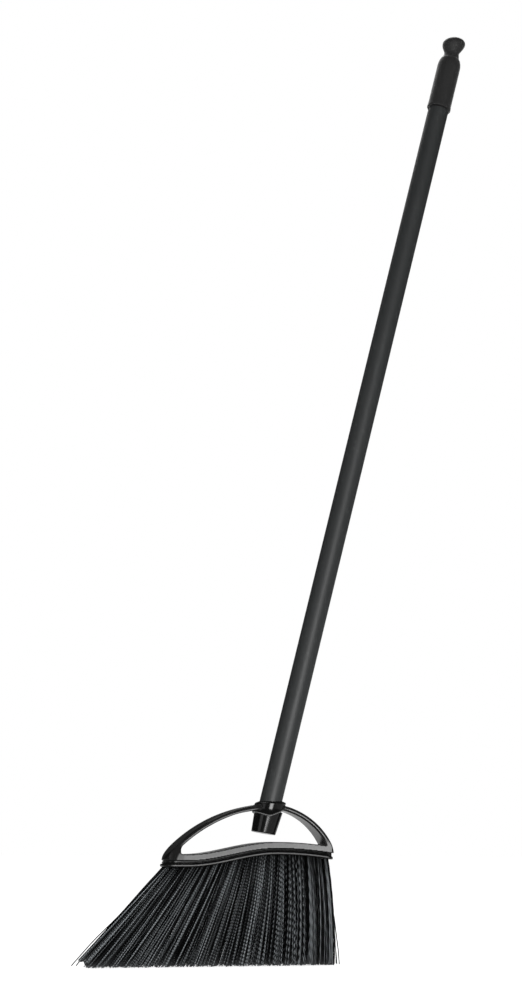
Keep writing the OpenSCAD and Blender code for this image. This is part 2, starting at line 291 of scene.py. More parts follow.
def moulded_grain_group():
    """Fine pebbled grain of a moulded or coated surface."""
    graph, where, scale, result = surface_group("moulded_grain", 900.0, "Height", "Mottle")
    inputs = {"Vector": where, "Scale": scale}
    pebbles = graph.add("ShaderNodeTexVoronoi", inputs, "Distance", feature="SMOOTH_F1")
    fine = graph.noise(where, scale * 0.6, detail=3.0)
    graph.fill(result, {"Height": pebbles * 0.6 + fine, "Mottle": fine})
    return graph.tree


def handling_group():
    """Soft smudges and a thin film of dust, as on a tool that has been handled."""
    graph, where, scale, result = surface_group("handling", 14.0, "Smudge", "Dust")
    smudge = graph.ramp(graph.noise(where, scale, detail=4.0, roughness=0.6), 0.35, 0.7)
    specks = graph.ramp(graph.noise(where, scale * 22.0, detail=2.0), 0.6, 0.8)
    graph.fill(result, {"Smudge": smudge, "Dust": specks * smudge})
    return graph.tree


GRAIN = moulded_grain_group()
HANDLING = handling_group()


def start_material(name, *scales):
    """A material, its graph and shader, the place on the object, and grain and marks at any scales given."""
    material = bpy.data.materials.new(name)
    material.use_nodes = True
    graph = Graph(material.node_tree)
    shader = next(n for n in material.node_tree.nodes if n.type == "BSDF_PRINCIPLED")
    where = graph.add("ShaderNodeTexCoord", pick="Object")
    groups = [graph.outputs("ShaderNodeGroup", {"Vector": where, "Scale": scale}, node_tree=group)
              for group, scale in zip((GRAIN, HANDLING), scales)]
    return material, graph, shader, where, *groups


def grey(level):
    return (level, level, level, 1.0)


def dusted(graph, marks, share, colour, level):
    """A colour with a share of grey dust on it."""
    return graph.mix_colour(marks["Dust"] * share, colour, grey(level))


def dress(graph, shader, specular, colour, roughness, relief=None, depth=0.0, strength=0.0):
    """Fills the shader's gloss, colour, roughness and relief."""
    graph.fill(shader, {"Specular IOR Level": specular, "Base Color": colour, "Roughness": roughness})
    if relief:
        bump = graph.add("ShaderNodeBump", {"Height": relief, "Distance": depth, "Strength": strength})
        graph.fill(shader, {"Normal": bump})


def band_line(graph, where):
    """A painted highlight line along the arch's two arcs, nearer the window beside the hub on the long side.
    """
    line_edge, line_core, nearing_by = 0.62 * MM, 0.25 * MM, 0.9 * MM
    spot = graph.parts(where)
    far_x, near_x = row_x(CROWN_X - 50), row_x(CROWN_X - 18)
    nearing = graph.ramp(spot["X"], far_x, near_x, nearing_by)
    lines = []
    for apex_x, arch_r, bend in ((LONG_APEX_X, LONG_ARCH_R, nearing), (SHORT_APEX_X, SHORT_ARCH_R, 0.0)):
        squares = (spot["X"] - row_x(apex_x)) ** 2.0 + (spot["Z"] - (CROWN_Z - arch_r) * MM) ** 2.0
        off_line = abs(graph.math("SQRT", squares) + bend - (arch_r - BAND_LINE_IN) * MM)
        lines.append(graph.ramp(off_line, line_edge, line_core))
    return between(spot["X"] > row_x(CROWN_X), *lines)


def moulding_material(name, dark, light, gloss, grain_and_painted_sheen, masked, specular):
    """Glossy black plastic, with a matte grain, a painted grey sheen and painted highlight lines, and dull
    faces, where the mesh's masks say so.
    """
    material, graph, shader, where, grain, marks = start_material(name, 1100.0, 30.0)
    if masked:
        face = graph.math("MAXIMUM", graph.mask("grain_and_painted_sheen"), graph.mask("band") * band_line(graph, where))
    else:
        face = marks["Smudge"] * 0.05
    polished = graph.mix_colour(grain["Mottle"], grey(dark), grey(light))
    # the lighter grey is painted sheen and painted highlights where the masks are set, and smudges where they
    # are not
    smudge_and_painted_sheen = graph.mix_colour(grain["Mottle"], grey(0.17), grey(0.28))
    colour = dusted(graph, marks, 0.12, graph.mix_colour(face, polished, smudge_and_painted_sheen), 0.16)
    plain_roughness = between(marks["Smudge"], gloss, gloss + 0.07)
    grain_roughness = between(grain["Mottle"], grain_and_painted_sheen - 0.05, grain_and_painted_sheen + 0.05)
    roughness = between(face, plain_roughness, grain_roughness)
    roughness = between(graph.mask("dull"), roughness, 0.9)
    relief = grain["Height"] * between(face, 0.12, 1.0)
    dress(graph, shader, specular, colour, roughness, relief, depth=0.06 * MM, strength=0.5)
    return material


def coated_steel_material():
    """Satin charcoal coating with faint lengthwise streaks and a fine orange peel."""
    material, graph, shader, where, peel, marks = start_material("satin_charcoal_coating", 700.0, 11.0)
    upright = {"Vector": where, "Rotation": (0.0, -LEAN, 0.0), "Scale": (1.0, 1.0, 0.02)}
    streaks = graph.noise(graph.add("ShaderNodeMapping", upright), 420.0, detail=3.0)
    coat = graph.mix_colour(streaks, (0.017, 0.0184, 0.0186, 1.0), (0.026, 0.028, 0.0284, 1.0))
    roughness = between(marks["Smudge"], 0.46, 0.54)
    dress(graph, shader, 0.4, dusted(graph, marks, 0.25, coat, 0.12), roughness,
          peel["Height"], depth=0.05 * MM, strength=0.18)
    return material


def grip_material():
    """Matte black grip with a fine texture, and painted black shade on the step at its lower edge."""
    material, graph, shader, _, grain, marks = start_material("matte_grip", 1300.0, 40.0)
    black = graph.mix_colour(grain["Mottle"], grey(0.011), grey(0.019))
    # the step under the rim is painted near black as painted shade
    colour = graph.mix_colour(graph.mask("step"), dusted(graph, marks, 0.3, black, 0.1), grey(0.001))
    roughness = between(marks["Smudge"], 0.62, 0.72)
    dress(graph, shader, 0.28, colour, roughness, grain["Height"], depth=0.08 * MM, strength=0.35)
    graph.fill(shader, {"Sheen Weight": 0.45, "Sheen Roughness": 0.35})
    return material


def bristle_material():
    """Dull dark slate filaments, each with its own tone and painted light and shade, lighter at the worn
    tips.
    """
    material, graph, shader, where = start_material("slate_filaments")
    slate = graph.mix_colour(graph.mask("tone"), (0.0006, 0.00064, 0.0007, 1.0), (0.275, 0.294, 0.308, 1.0))
    colour = graph.mix_colour(graph.mask("along") ** 30.0 * 0.4, slate, (0.16, 0.166, 0.172, 1.0))
    dress(graph, shader, 0.04, colour, between(graph.noise(where, 260.0, detail=2.0), 0.38, 0.5))
    return material


CAP_PLASTIC = moulding_material("black_moulding_cap", dark=0.003, light=0.005, gloss=0.12, grain_and_painted_sheen=0.4,
                                masked=True, specular=0.23)
BLOCK_PLASTIC = moulding_material("black_moulding_block", dark=0.003, light=0.005, gloss=0.18, grain_and_painted_sheen=0.4,
                                  masked=True, specular=0.18)
TIP_PLASTIC = moulding_material("black_moulding_tip", dark=0.008, light=0.013, gloss=0.4, grain_and_painted_sheen=0.5,
                                masked=False, specular=0.35)
STEEL_COATING = coated_steel_material()
GRIP_RUBBER = grip_material()
FILAMENT = bristle_material()


# Moulded shapes: fields that are negative inside the material, in millimetres

def ease(share):
    """A smooth step from 0 to 1."""
    share = np.clip(share, 0, 1)
    return share * share * (3 - 2 * share)


def ramp(value, start, end):
    """0 at the start and 1 at the end, held beyond both."""
    return np.clip((value - start) / (end - start), 0, 1)


def round_meet(a, b, r):
    """What two fields share, with a rounded edge."""
    return np.minimum(-r, np.maximum(a, b)) + np.hypot(np.maximum(r + a, 0), np.maximum(r + b, 0))


def round_join(a, b, r):
    """Two fields joined, with a fillet."""
    return np.maximum(r, np.minimum(a, b)) - np.hypot(np.maximum(r - a, 0), np.maximum(r - b, 0))


def rail_z(x):
    """Height of the rail's top edge: flat, then a smooth rise, then a gentle fall."""
    x = np.asarray(x, float)
    share = ramp(x, RAIL_VALLEY_X, RAIL_CREST_X)
    past = np.maximum(x - RAIL_CREST_X, 0) / (CAP_END - RAIL_CREST_X)
    return RAIL_LOW_Z + RAIL_RISE * (1 - np.cos(np.pi * share)) / 2 - RAIL_FALL * past ** 2


def above_rail(x, z, drop, half_step=0.5):
    """Distance over the line that runs at a drop below the rail's top edge."""
    slope = (rail_z(x + half_step) - rail_z(x - half_step)) / (2 * half_step)
    return (z - rail_z(x) + drop) / np.sqrt(1 + slope ** 2)


def plan(x, y, end, half_depth, long_r, short_r):
    """A rectangle with round corners of one radius at each end, seen from above."""
    corner_r = np.where(x < 0, long_r, short_r)
    over_x = np.abs(x) - (end - corner_r)
    over_y = np.abs(y) - (half_depth - corner_r)
    outside = np.hypot(np.maximum(over_x, 0), np.maximum(over_y, 0))
    return outside + np.minimum(np.maximum(over_x, over_y), 0) - corner_r


def arch(x, z, inset):
    """The two arcs of the arch, thinned by an inset."""
    long_side = np.hypot(x - LONG_APEX_X, z - (CROWN_Z - LONG_ARCH_R)) - (LONG_ARCH_R - inset)
    short_side = np.hypot(x - SHORT_APEX_X, z - (CROWN_Z - SHORT_ARCH_R)) - (SHORT_ARCH_R - inset)
    return np.where(x < CROWN_X, long_side, short_side)


def window(x, z):
    """The opening between the arch and the rail."""
    band_t = BAND_T - LONG_BAND_THINNED * ease((CROWN_X - THINNING_RUN - x) / THINNING_RUN)
    opening = round_meet(arch(x, z, band_t), -above_rail(x, z, 0), WINDOW_CORNER_R)
    return round_meet(opening, WINDOW_START_X - x, WINDOW_CORNER_R)


def along_axis(x, y, z):
    """Distance along the handle's axis, the place across it and the distance from it."""
    across = (x - AXIS_FOOT_X) * math.cos(LEAN) - z * math.sin(LEAN)
    along = (x - AXIS_FOOT_X) * math.sin(LEAN) + z * math.cos(LEAN)
    return along, across, np.hypot(across, y)


def socket_hollow(x, y, z):
    """The threaded bore for the tip, and the wider bore over it for the tube."""
    s, across, radius = along_axis(x, y, z)
    bore = np.maximum(radius - (THREAD_CORE_R + THREAD_FIT), SOCKET_END_S + SOCKET_FLOOR_T - s)
    seat = np.maximum(radius - (TUBE_R + THREAD_FIT), SEAT_S - s)
    turned = (np.arctan2(y, across) / TURN) * THREAD_PITCH
    half_pitch = THREAD_PITCH / 2
    climb = (s - TIP_END_S - THREAD_START - turned + half_pitch) % THREAD_PITCH - half_pitch
    half_width = np.interp(radius, (THREAD_CORE_R, THREAD_R), (THREAD_ROOT_HALF, THREAD_CREST_HALF))
    groove = np.maximum(np.abs(climb) - half_width, radius - (THREAD_R + THREAD_FIT))
    groove = np.maximum(np.maximum(groove, TIP_END_S - s), s - SEAT_S - THREAD_RUN_OUT)
    return np.minimum(np.minimum(bore, seat), groove)


def collar_edge(x, z):
    """Distance below the collar's lower edge, which dips to a soft point in the front."""
    aside = np.hypot(x - COLLAR_EDGE_X, COLLAR_EDGE_SOFT) - COLLAR_EDGE_SOFT
    edge_z = CROWN_Z - COLLAR_DROP + COLLAR_EDGE_SLOPE * aside
    return (edge_z - z) / math.hypot(1, COLLAR_EDGE_SLOPE)


def collar_radius(z):
    """Upright at the top, then flared towards the lower edge."""
    return COLLAR_R + COLLAR_FLARE * np.clip(CROWN_Z - COLLAR_FLARE_TOP - z, 0, COLLAR_FLARE_H) ** 2


def cap_field(x, y, z):
    """The cap: rail, arch, collar and socket as one moulding."""
    s, across, radius = along_axis(x, y, z)
    above = z - rail_z(x)
    near_hub = (1 - ease((np.abs(across) - HUB_FLAT) / HUB_BLEND)) * ease((above - HUB_LOW) / HUB_RISE)
    half_depth = between(near_hub, CAP_HALF_DEPTH, HUB_HALF_DEPTH)
    sides = plan(x, y, CAP_END, CAP_HALF_DEPTH, LONG_CORNER_R, SHORT_CORNER_R)
    sides = np.maximum(sides, np.abs(y) - half_depth)
    window_round = between(ease((above - BAND_ROUND_LOW) / BAND_ROUND_RISE), RAIL_ROUND, BAND_ROUND)
    body = round_meet(arch(x, z, 0), sides, OUTER_ROUND)
    body = round_meet(body, -above_rail(x, z, CAP_H), LOWER_ROUND)
    body = round_meet(body, -window(x, z), window_round)

    off_collar = radius - collar_radius(z)
    below_edge = collar_edge(x, z)
    cone = COLLAR_CONE * np.clip(COLLAR_R - COLLAR_CONE_IN - radius, 0, COLLAR_CONE_RUN)
    collar = round_meet(off_collar, z - (CROWN_Z + COLLAR_RISE) - cone, COLLAR_TOP_ROUND)
    collar = round_meet(collar, below_edge, COLLAR_EDGE_ROUND)
    bead = np.hypot(off_collar + BEAD_IN, below_edge + BEAD_UP) - BEAD_R
    up_nose = (s - SOCKET_END_S) / (TUBE_START_S - SOCKET_END_S)
    nose_r = between(up_nose, SOCKET_END_R, SOCKET_TOP_R)
    nose = round_meet(radius - nose_r, SOCKET_END_S - NOSE_LONGER + NOSE_TILT * across - s, NOSE_ROUND)
    nose = np.maximum(nose, s - TUBE_START_S)
    whole = round_join(body, nose, NOSE_FILLET)
    whole = np.minimum(round_join(whole, collar, COLLAR_FILLET), bead)

    pocket = plan(x, y, CAP_END - CAP_WALL, CAP_HALF_DEPTH - CAP_WALL,
                  LONG_CORNER_R - CAP_WALL, SHORT_CORNER_R - CAP_WALL)
    pocket = np.maximum(pocket, above_rail(x, z, CAP_WALL))
    return np.maximum(np.maximum(whole, -pocket), -socket_hollow(x, y, z))


def block_field(x, y, z):
    """The block: a tongue in the cap, a shadow groove with a thin bead, and the lip."""
    lip_top = CAP_H + GROOVE_H
    corner_r = LIP_CORNER_R - LIP_OVER

    def layer(out, upper, lower, r, long_r=corner_r, short_r=corner_r):
        field = plan(x, y, CAP_END + out, CAP_HALF_DEPTH + out, long_r + out, short_r + out)
        field = round_meet(field, above_rail(x, z, upper), r)
        return round_meet(field, -above_rail(x, z, lower), r)

    lip = layer(LIP_OVER, lip_top, RAIL_H, LIP_ROUND)
    neck = layer(-GROOVE_IN, CAP_H + SEAT_FIT, lip_top + LIP_OVERLAP, NECK_ROUND)
    bead = layer(-GROOVE_IN + GROOVE_BEAD_OUT, CAP_H + GROOVE_BEAD_TOP, CAP_H + GROOVE_BEAD_END,
                 GROOVE_BEAD_ROUND)
    tongue = layer(-CAP_WALL - SEAT_FIT, CAP_WALL + SEAT_FIT, lip_top + LIP_OVERLAP, TONGUE_ROUND,
                   LONG_CORNER_R, SHORT_CORNER_R)
    whole = np.minimum(np.minimum(lip, neck), np.minimum(bead, tongue))
    recess = np.maximum(np.abs(x) - STRIPS_END - SEAT_FIT, np.abs(y) - STRIP_DEPTH / 2 - SEAT_FIT)
    recess = np.maximum(recess, above_rail(x, z, RAIL_H - STRIP_T - SEAT_FIT))
    return np.maximum(whole, -recess)


def slopes(field, points, step=0.02):
    """Slope of a field at some points."""
    out = np.empty_like(points)
    for k in range(3):
        ahead, behind = points.copy(), points.copy()
        ahead[:, k] += step
        behind[:, k] -= step
        out[:, k] = (field(*ahead.T) - field(*behind.T)) / (2 * step)
    return out


def plain_mesh(points, faces):
    """A smooth mesh of points of the drawing."""
    mesh = bpy.data.meshes.new("skin")
    mesh.from_pydata(to_row(points).tolist(), [], faces)
    mesh.validate()
    mesh.shade_smooth()
    return mesh


def moulded_mesh(field, low, high, cell, settle_rounds=5, least_slope=0.2, move_share=0.4):
    """A closed mesh of even quads on a field's surface: one point in each grid cell that it crosses."""
    axes = [np.arange(low[k], high[k] + cell, cell) for k in range(3)]
    values = field(*np.meshgrid(*axes, indexing="ij"))
    inside = values < 0
    cells = np.array(inside.shape) - 1
    total, count = np.zeros((*cells, 3)), np.zeros(cells)
    step = np.eye(3, dtype=int)
    quads = []
    for k in range(3):
        i, j = (k + 1) % 3, (k + 2) % 3
        near = np.take(inside, range(cells[k]), axis=k)
        far = np.take(inside, range(1, cells[k] + 1), axis=k)
        at = np.argwhere(near != far)
        a = values[tuple(at.T)]
        b = values[tuple((at + step[k]).T)]
        point = at.astype(float)
        point[:, k] += a / (a - b)
        ring = [at, at - step[i], at - step[i] - step[j], at - step[j]]
        for around in ring:
            np.add.at(total, tuple(around.T), point)
            np.add.at(count, tuple(around.T), 1)
        corners = np.stack([np.ravel_multi_index(tuple(around.T), cells) for around in ring], axis=1)
        leaving = near[tuple(at.T)]
        quads.append(np.where(leaving[:, None], corners, corners[:, ::-1]))
    used = np.flatnonzero(count.ravel())
    number = np.full(count.size, -1)
    number[used] = np.arange(len(used))
    points = total.reshape(-1, 3)[used] / count.ravel()[used, None] * cell + np.array(low)
    for _ in range(settle_rounds):
        slope = slopes(field, points)
        move = (field(*points.T) / np.maximum((slope ** 2).sum(1), least_slope))[:, None] * slope
        length = np.linalg.norm(move, axis=1, keepdims=True)
        points -= move * np.minimum(1, move_share * cell / np.maximum(length, TINY))
    normals = slopes(field, points)
    normals /= np.maximum(np.linalg.norm(normals, axis=1, keepdims=True), TINY)
    mesh = plain_mesh(points, number[np.concatenate(quads)].tolist())
    mesh.normals_split_custom_set_from_vertices(normals.tolist())
    return mesh, points, normals


def set_mask(mesh, label, values):
    mesh.attributes.new(label, "FLOAT", "POINT").data.foreach_set("value", np.asarray(values, np.float32))


# The cap's masks: where each begins and where it is full, by place or by how far a face looks to the front
CAP_BOX = ((-88, -17.6, 99), (88, 17.6, 162))
CAP_CELL = 0.63
BAND_ENDS_X = (-60, 40)
BAND_LOW = (-0.5, 2.0)
BAND_BLEND = (2.5, 5.0)
FOOT_FACE_X = -76.5
FOOT_FACE_SLANT = 0.45
RAIL_FACING = (0.98, 0.995)
RAIL_PAINTED_SHEEN = ((-75, 0, 75), (0.55, 0.61, 0.95))
LOWER_EDGE = (1.44, 0.54)
LOWER_EDGE_PAINTED_HIGHLIGHT = 0.8
WINDOW_WALL = (0.375, 0.125)
WALL_FACING = (0.35, 0.25)
WALL_PAINTED_SHEEN = 0.2
HUB_CLEAR_H = 3
HUB_CLEAR_R = (16.5, 18.5)
BEAD_GLINT = (0.756, 0.336)
LINE_PAINTED_HIGHLIGHT = ((10, 40), (0.85, 1.0))
LINE_R = (16.0, 21.0)
LINE_X = (-72.0, -67.0)
FRONT_FACING = (0.08, 0.18)
EDGE_FACING = (0.99, 0.97)
EDGE_REACH = 2.5
BAND_REACH = 3.5
FOOT_START_X = (-82.0, -79.0)
FOOT_END_X = (-67.0, -70.0)
FILLET_OFF = (0.25, 0.55)
FILLET_R = (21.0, 19.0)
FILLET_DROP = 10.0


def make_cap():
    """The cap: matte with a painted grey sheen on the rail's face and window walls, a painted highlight on
    the arch's line and the collar's bead, dull where it would mirror a lamp.
    """
    mesh, points, normals = moulded_mesh(cap_field, *CAP_BOX, CAP_CELL)
    x, y, z = points.T
    _, across, radius = along_axis(x, y, z)
    facing = np.abs(normals[:, 1])
    above = z - rail_z(x)
    near_window = np.abs(window(x, z))
    off_collar = radius - collar_radius(z)
    on_band = ease((above - np.interp(x, BAND_ENDS_X, BAND_LOW)) / np.interp(x, BAND_ENDS_X, BAND_BLEND))
    clear_of_hub = np.where(above > HUB_CLEAR_H, ramp(radius, *HUB_CLEAR_R), 1)

    past_foot = np.clip(x - FOOT_FACE_X - FOOT_FACE_SLANT * (z - RAIL_LOW_Z + CAP_H), 0, 1)
    # painted sheen on the rail's face: a lighter grey, brighter towards the short end
    rail_face = ramp(facing, *RAIL_FACING) * (1 - on_band) * past_foot * np.interp(x, *RAIL_PAINTED_SHEEN)
    # a painted highlight along the rail face's lower edge
    rail_face *= 1 + LOWER_EDGE_PAINTED_HIGHLIGHT * ramp(above + CAP_H, *LOWER_EDGE)
    # painted sheen on the window's walls
    window_wall = WALL_PAINTED_SHEEN * ramp(near_window, *WINDOW_WALL) * ramp(facing, *WALL_FACING)
    # a painted glint on the bead along the collar's lower edge
    on_bead = ramp(np.hypot(off_collar, collar_edge(x, z)), *BEAD_GLINT)
    set_mask(mesh, "grain_and_painted_sheen", np.maximum(np.maximum(rail_face, window_wall) * clear_of_hub, on_bead))
    # a painted highlight line along the arch, fading towards its ends and the hub
    set_mask(mesh, "band", on_band * np.interp(x, *LINE_PAINTED_HIGHLIGHT) * ramp(radius, *LINE_R) * ramp(x, *LINE_X))

    in_front = ramp(facing, *FRONT_FACING)
    rail_edge = in_front * ramp(facing, *EDGE_FACING) * (near_window < EDGE_REACH) * (above > -EDGE_REACH)
    band_face = in_front * on_band * np.maximum(x > CROWN_X, near_window < BAND_REACH)
    foot = in_front * ramp(x, *FOOT_START_X) * ramp(x, *FOOT_END_X)
    hub_fillet = ramp(off_collar, *FILLET_OFF) * ramp(radius, *FILLET_R)
    hub_fillet *= (across < 0) * (z > CROWN_Z - FILLET_DROP)
    beside_hub = np.maximum(rail_edge, band_face) * clear_of_hub
    set_mask(mesh, "dull", np.maximum(np.maximum(beside_hub, foot), hub_fillet))
    new_piece("cap_moulding", mesh, CAP_PLASTIC, "head", "cap_plastic", "head_cap")


# The block's mesh, and the painted highlight line with grain along the front of its lip
BLOCK_BOX = ((-88.8, -18.3, 93.5), (88.8, 18.3, 119))
BLOCK_CELL = 0.6
LIP_LINE_DROP = 1.5
LIP_LINE = (0.65, 0.15)
LIP_FACING = (0.85, 0.95)
LIP_PAINTED_HIGHLIGHT = 0.68


def make_block():
    mesh, points, normals = moulded_mesh(block_field, *BLOCK_BOX, BLOCK_CELL)
    x, y, z = points.T
    off_line = np.abs(-above_rail(x, z, 0) - CAP_H - GROOVE_H - LIP_LINE_DROP)
    # a painted highlight line along the lip's front
    set_mask(mesh, "grain_and_painted_sheen", LIP_PAINTED_HIGHLIGHT * ramp(off_line, *LIP_LINE) * ramp(np.abs(normals[:, 1]), *LIP_FACING))
    new_piece("block_moulding", mesh, BLOCK_PLASTIC, "head", "block_plastic", "bristle_block")


# Turned pieces on the handle's axis

def axis_point(s):
    """The point of the handle's axis, in X and Z, at a distance along it."""
    return np.array((AXIS_FOOT_X + s * math.sin(LEAN), s * math.cos(LEAN)))


def ring_on_axis(r, s):
    """The left and right points, in X and Z, of a ring square to the handle's axis."""
    aside = r * np.array((math.cos(LEAN), -math.sin(LEAN)))
    return axis_point(s) - aside, axis_point(s) + aside


def band_faces(lower, upper):
    """The faces between two rings of points, of which one may be a single point."""
    count = max(len(lower), len(upper))
    for k in range(count):
        after = (k + 1) % count
        corners = (lower[k % len(lower)], lower[after % len(lower)],
                   upper[after % len(upper)], upper[k % len(upper)])
        yield list(dict.fromkeys(corners))


def ring_mesh(outline, segments=96):
    """Round sections, each given by its left and right points; the skin closes on itself or on a point."""
    rings, verts, faces = [], [], []
    for left, right in outline:
        middle, aside = (left + right) / 2, (right - left) / 2
        r = math.hypot(*aside)
        count = segments if r > 0 else 1
        rings.append(list(range(len(verts), len(verts) + count)))
        for k in range(count):
            a = TURN * k / segments
            verts.append((middle[0] + aside[0] * math.cos(a), r * math.sin(a),
                          middle[1] + aside[1] * math.cos(a)))
    pairs = list(zip(rings, rings[1:]))
    if len(rings[0]) > 1 and len(rings[-1]) > 1:
        pairs.append((rings[-1], rings[0]))
    for lower, upper in pairs:
        faces += band_faces(lower, upper)
    mesh = plain_mesh(verts, faces)
    mesh.set_sharp_from_angle(angle=SHARP_ANGLE)
    return mesh


def join_meshes(*meshes, merge=1e-6):
    """Meshes that share a rim, made one closed mesh."""
    work = bmesh.new()
    for mesh in meshes:
        work.from_mesh(mesh)
        bpy.data.meshes.remove(mesh)
    bmesh.ops.remove_doubles(work, verts=work.verts, dist=merge)
    bmesh.ops.recalc_face_normals(work, faces=work.faces)
    mesh = bpy.data.meshes.new("skin")
    work.to_mesh(mesh)
    work.free()
    mesh.shade_smooth()
    mesh.set_sharp_from_angle(angle=SHARP_ANGLE)
    return mesh


def arc(centre, a, b, start, end, steps):
    """Points on a stretch of an ellipse, between two angles in degrees."""
    angles = [math.radians(start + (end - start) * k / steps) for k in range(steps + 1)]
    return [(centre[0] + a * math.cos(t), centre[1] + b * math.sin(t)) for t in angles]


def make_handle():
    edge, length, inner = TUBE_EDGE, TUBE_END_S - TUBE_START_S, TUBE_R - TUBE_WALL
    profile = [(TUBE_R - edge, 0.0), (TUBE_R, edge), (TUBE_R, length - edge), (TUBE_R - edge, length),
               (inner + edge, length), (inner, length - edge), (inner, edge), (inner + edge, 0.0)]
    mesh = ring_mesh([ring_on_axis(r, TUBE_START_S + h) for r, h in profile])
    new_piece("coated_tube", mesh, STEEL_COATING, "handle", "coated_steel", "handle_tube")


# The grip, with heights counted from its lower edge
GRIP_BORE_R = TUBE_R + 0.05
GRIP_BORE_H = 51.5
GRIP_EDGE = 0.2
STEP_R = 11.9
STEP_H = 1.7
STEP_SHADE_H = 0.05
STEP_SHADE_OUT = 0.3
RIM_R = 13.0
RIM_ROUND = 0.6
RIM_END_H = 3.0
RIM_FADE_H = 4.0
RIM_STEPS = 6
GRIP_R = 12.65
NECK_R = 8.0
SHOULDER_H = 52.1
SHOULDER_RISE = 12.0
NECK_FILLET = ((9.45, 63.7), (8.95, 64.8), (8.55, 66.2), (8.3, 67.8))
# The knob: left and right points of its rings, from the middle of its level ring, and the dome over them
KNOB_H = 81.6
KNOB_RINGS = ((-11.2, -9.7, 4.6, -13.4), (-11.5, -8.3, 4.9, -11.7), (-11.9, -6.6, 6.0, -9.9),
              (-12.5, -4.8, 8.0, -7.4), (-12.9, -3.2, 10.0, -4.9), (-13.0, -1.7, 11.4, -2.6),
              (-13.0, -0.5, 11.9, -1.0), (-12.9, 0.3, 12.0, 0.3))
DOME_X = -0.45
DOME_Z = 0.3
DOME_R = 12.45
DOME_RISE = 7.0


def make_grip():
    """The grip: a step at its lower edge with painted black shade, a faint rim, a plain body, a neck and a
    level knob.
    """
    profile = [(GRIP_BORE_R, GRIP_EDGE), (GRIP_BORE_R + GRIP_EDGE, 0.0), (STEP_R - GRIP_EDGE, 0.0),
               (STEP_R, GRIP_EDGE), (STEP_R, STEP_H)]
    profile += arc((RIM_R - RIM_ROUND, STEP_H + RIM_ROUND), RIM_ROUND, RIM_ROUND, -90, 0, RIM_STEPS)
    for k in range(RIM_STEPS + 1):
        fade = (1 + math.cos(math.pi * k / RIM_STEPS)) / 2
        profile.append((between(fade, GRIP_R, RIM_R), RIM_END_H + RIM_FADE_H * k / RIM_STEPS))
    profile += arc((NECK_R, SHOULDER_H), GRIP_R - NECK_R, SHOULDER_RISE, 0, 64, 13)
    profile += NECK_FILLET
    outside = [ring_on_axis(r, GRIP_START_S + h) for r, h in profile]

    rings = list(KNOB_RINGS)
    rings += [(DOME_X - r, DOME_Z + h, r + DOME_X, DOME_Z + h)
              for r, h in arc((0.0, 0.0), DOME_R, DOME_RISE, 6, 86, 16)]
    middle = axis_point(GRIP_START_S + KNOB_H)
    outside += [(middle + ring[:2], middle + ring[2:]) for ring in rings]
    top = middle + (DOME_X, DOME_Z + DOME_RISE)
    outside.append((top, top))
    bore = ((0.0, GRIP_BORE_H), (GRIP_BORE_R, GRIP_BORE_H), (GRIP_BORE_R, GRIP_EDGE))
    inside = [ring_on_axis(r, GRIP_START_S + h) for r, h in bore]
    joined = join_meshes(ring_mesh(outside), ring_mesh(inside))
    drawn = np.array([vertex.co for vertex in joined.vertices]) / MM + (CENTRE_X, 0.0, 0.0)
    s, _, radius = along_axis(*drawn.T)
    # painted shade: the step under the rim is marked to be painted near black
    step_painted_shade = (s - GRIP_START_S < STEP_H + STEP_SHADE_H) & (radius < STEP_R + STEP_SHADE_OUT)
    set_mask(joined, "step", step_painted_shade)
    new_piece("grip_moulding", joined, GRIP_RUBBER, "grip", "grip_rubber", "hang_grip")


# Bristles

STRIP_COUNT = 17
STRIPS_END = 83.0
STRIP_DEPTH = 23.0
STRIP_T = 2.0
TUFT_ROWS = 4
LOCK_NUMBERS = 64.0
# What changes along the head, as pairs of a share of its length and a value; lengths are in millimetres
LENGTHS_ALONG_HEAD = dict(
    filament_radius=((0.0, 0.48), (0.3, 0.44), (0.7, 0.47), (0.85, 0.44)),
    crimp_depth=((0.0, 0.22), (0.2, 0.26), (0.32, 0.36), (0.5, 0.44), (0.7, 0.55), (0.8, 0.6), (0.88, 0.2),
                 (1.0, 0.1)),
    crimp_length=((0.0, 2.5), (0.3, 2.6), (0.5, 3.0), (0.6, 3.7), (0.7, 5.0), (0.8, 9.0), (0.9, 13.0),
                  (1.0, 15.0)),
    bow=((0.3, 0.8), (0.6, 1.6), (1.0, 2.2)))
SHARES_ALONG_HEAD = dict(
    lock_share=((0.0, 0.1), (0.7, 0.15), (1.0, 0.1)),
    crimp_shade=((0.75, 0.9), (0.85, 0.4), (1.0, 0.3)),
    tone_gain=((0.0, 0.82), (0.2, 0.86), (0.35, 0.97), (0.75, 0.92), (0.85, 1.1)),
    dark_share=((0.0, 0.52), (0.15, 0.5), (0.3, 0.43), (0.5, 0.48), (0.75, 0.5), (0.85, 0.6)))
POINTS_PER_CRIMP = ((0.0, 3.0), (0.35, 3.3), (0.5, 4.4), (0.6, 5.2), (0.7, 6.0))
LEAST_POINTS = 36
FILAMENTS = 126
TIP_SPREAD_SHARE = 0.45
TOE_TRIM = (0.006, -0.004)
STAGGER, LAST_STAGGER = 0.25, 0.07

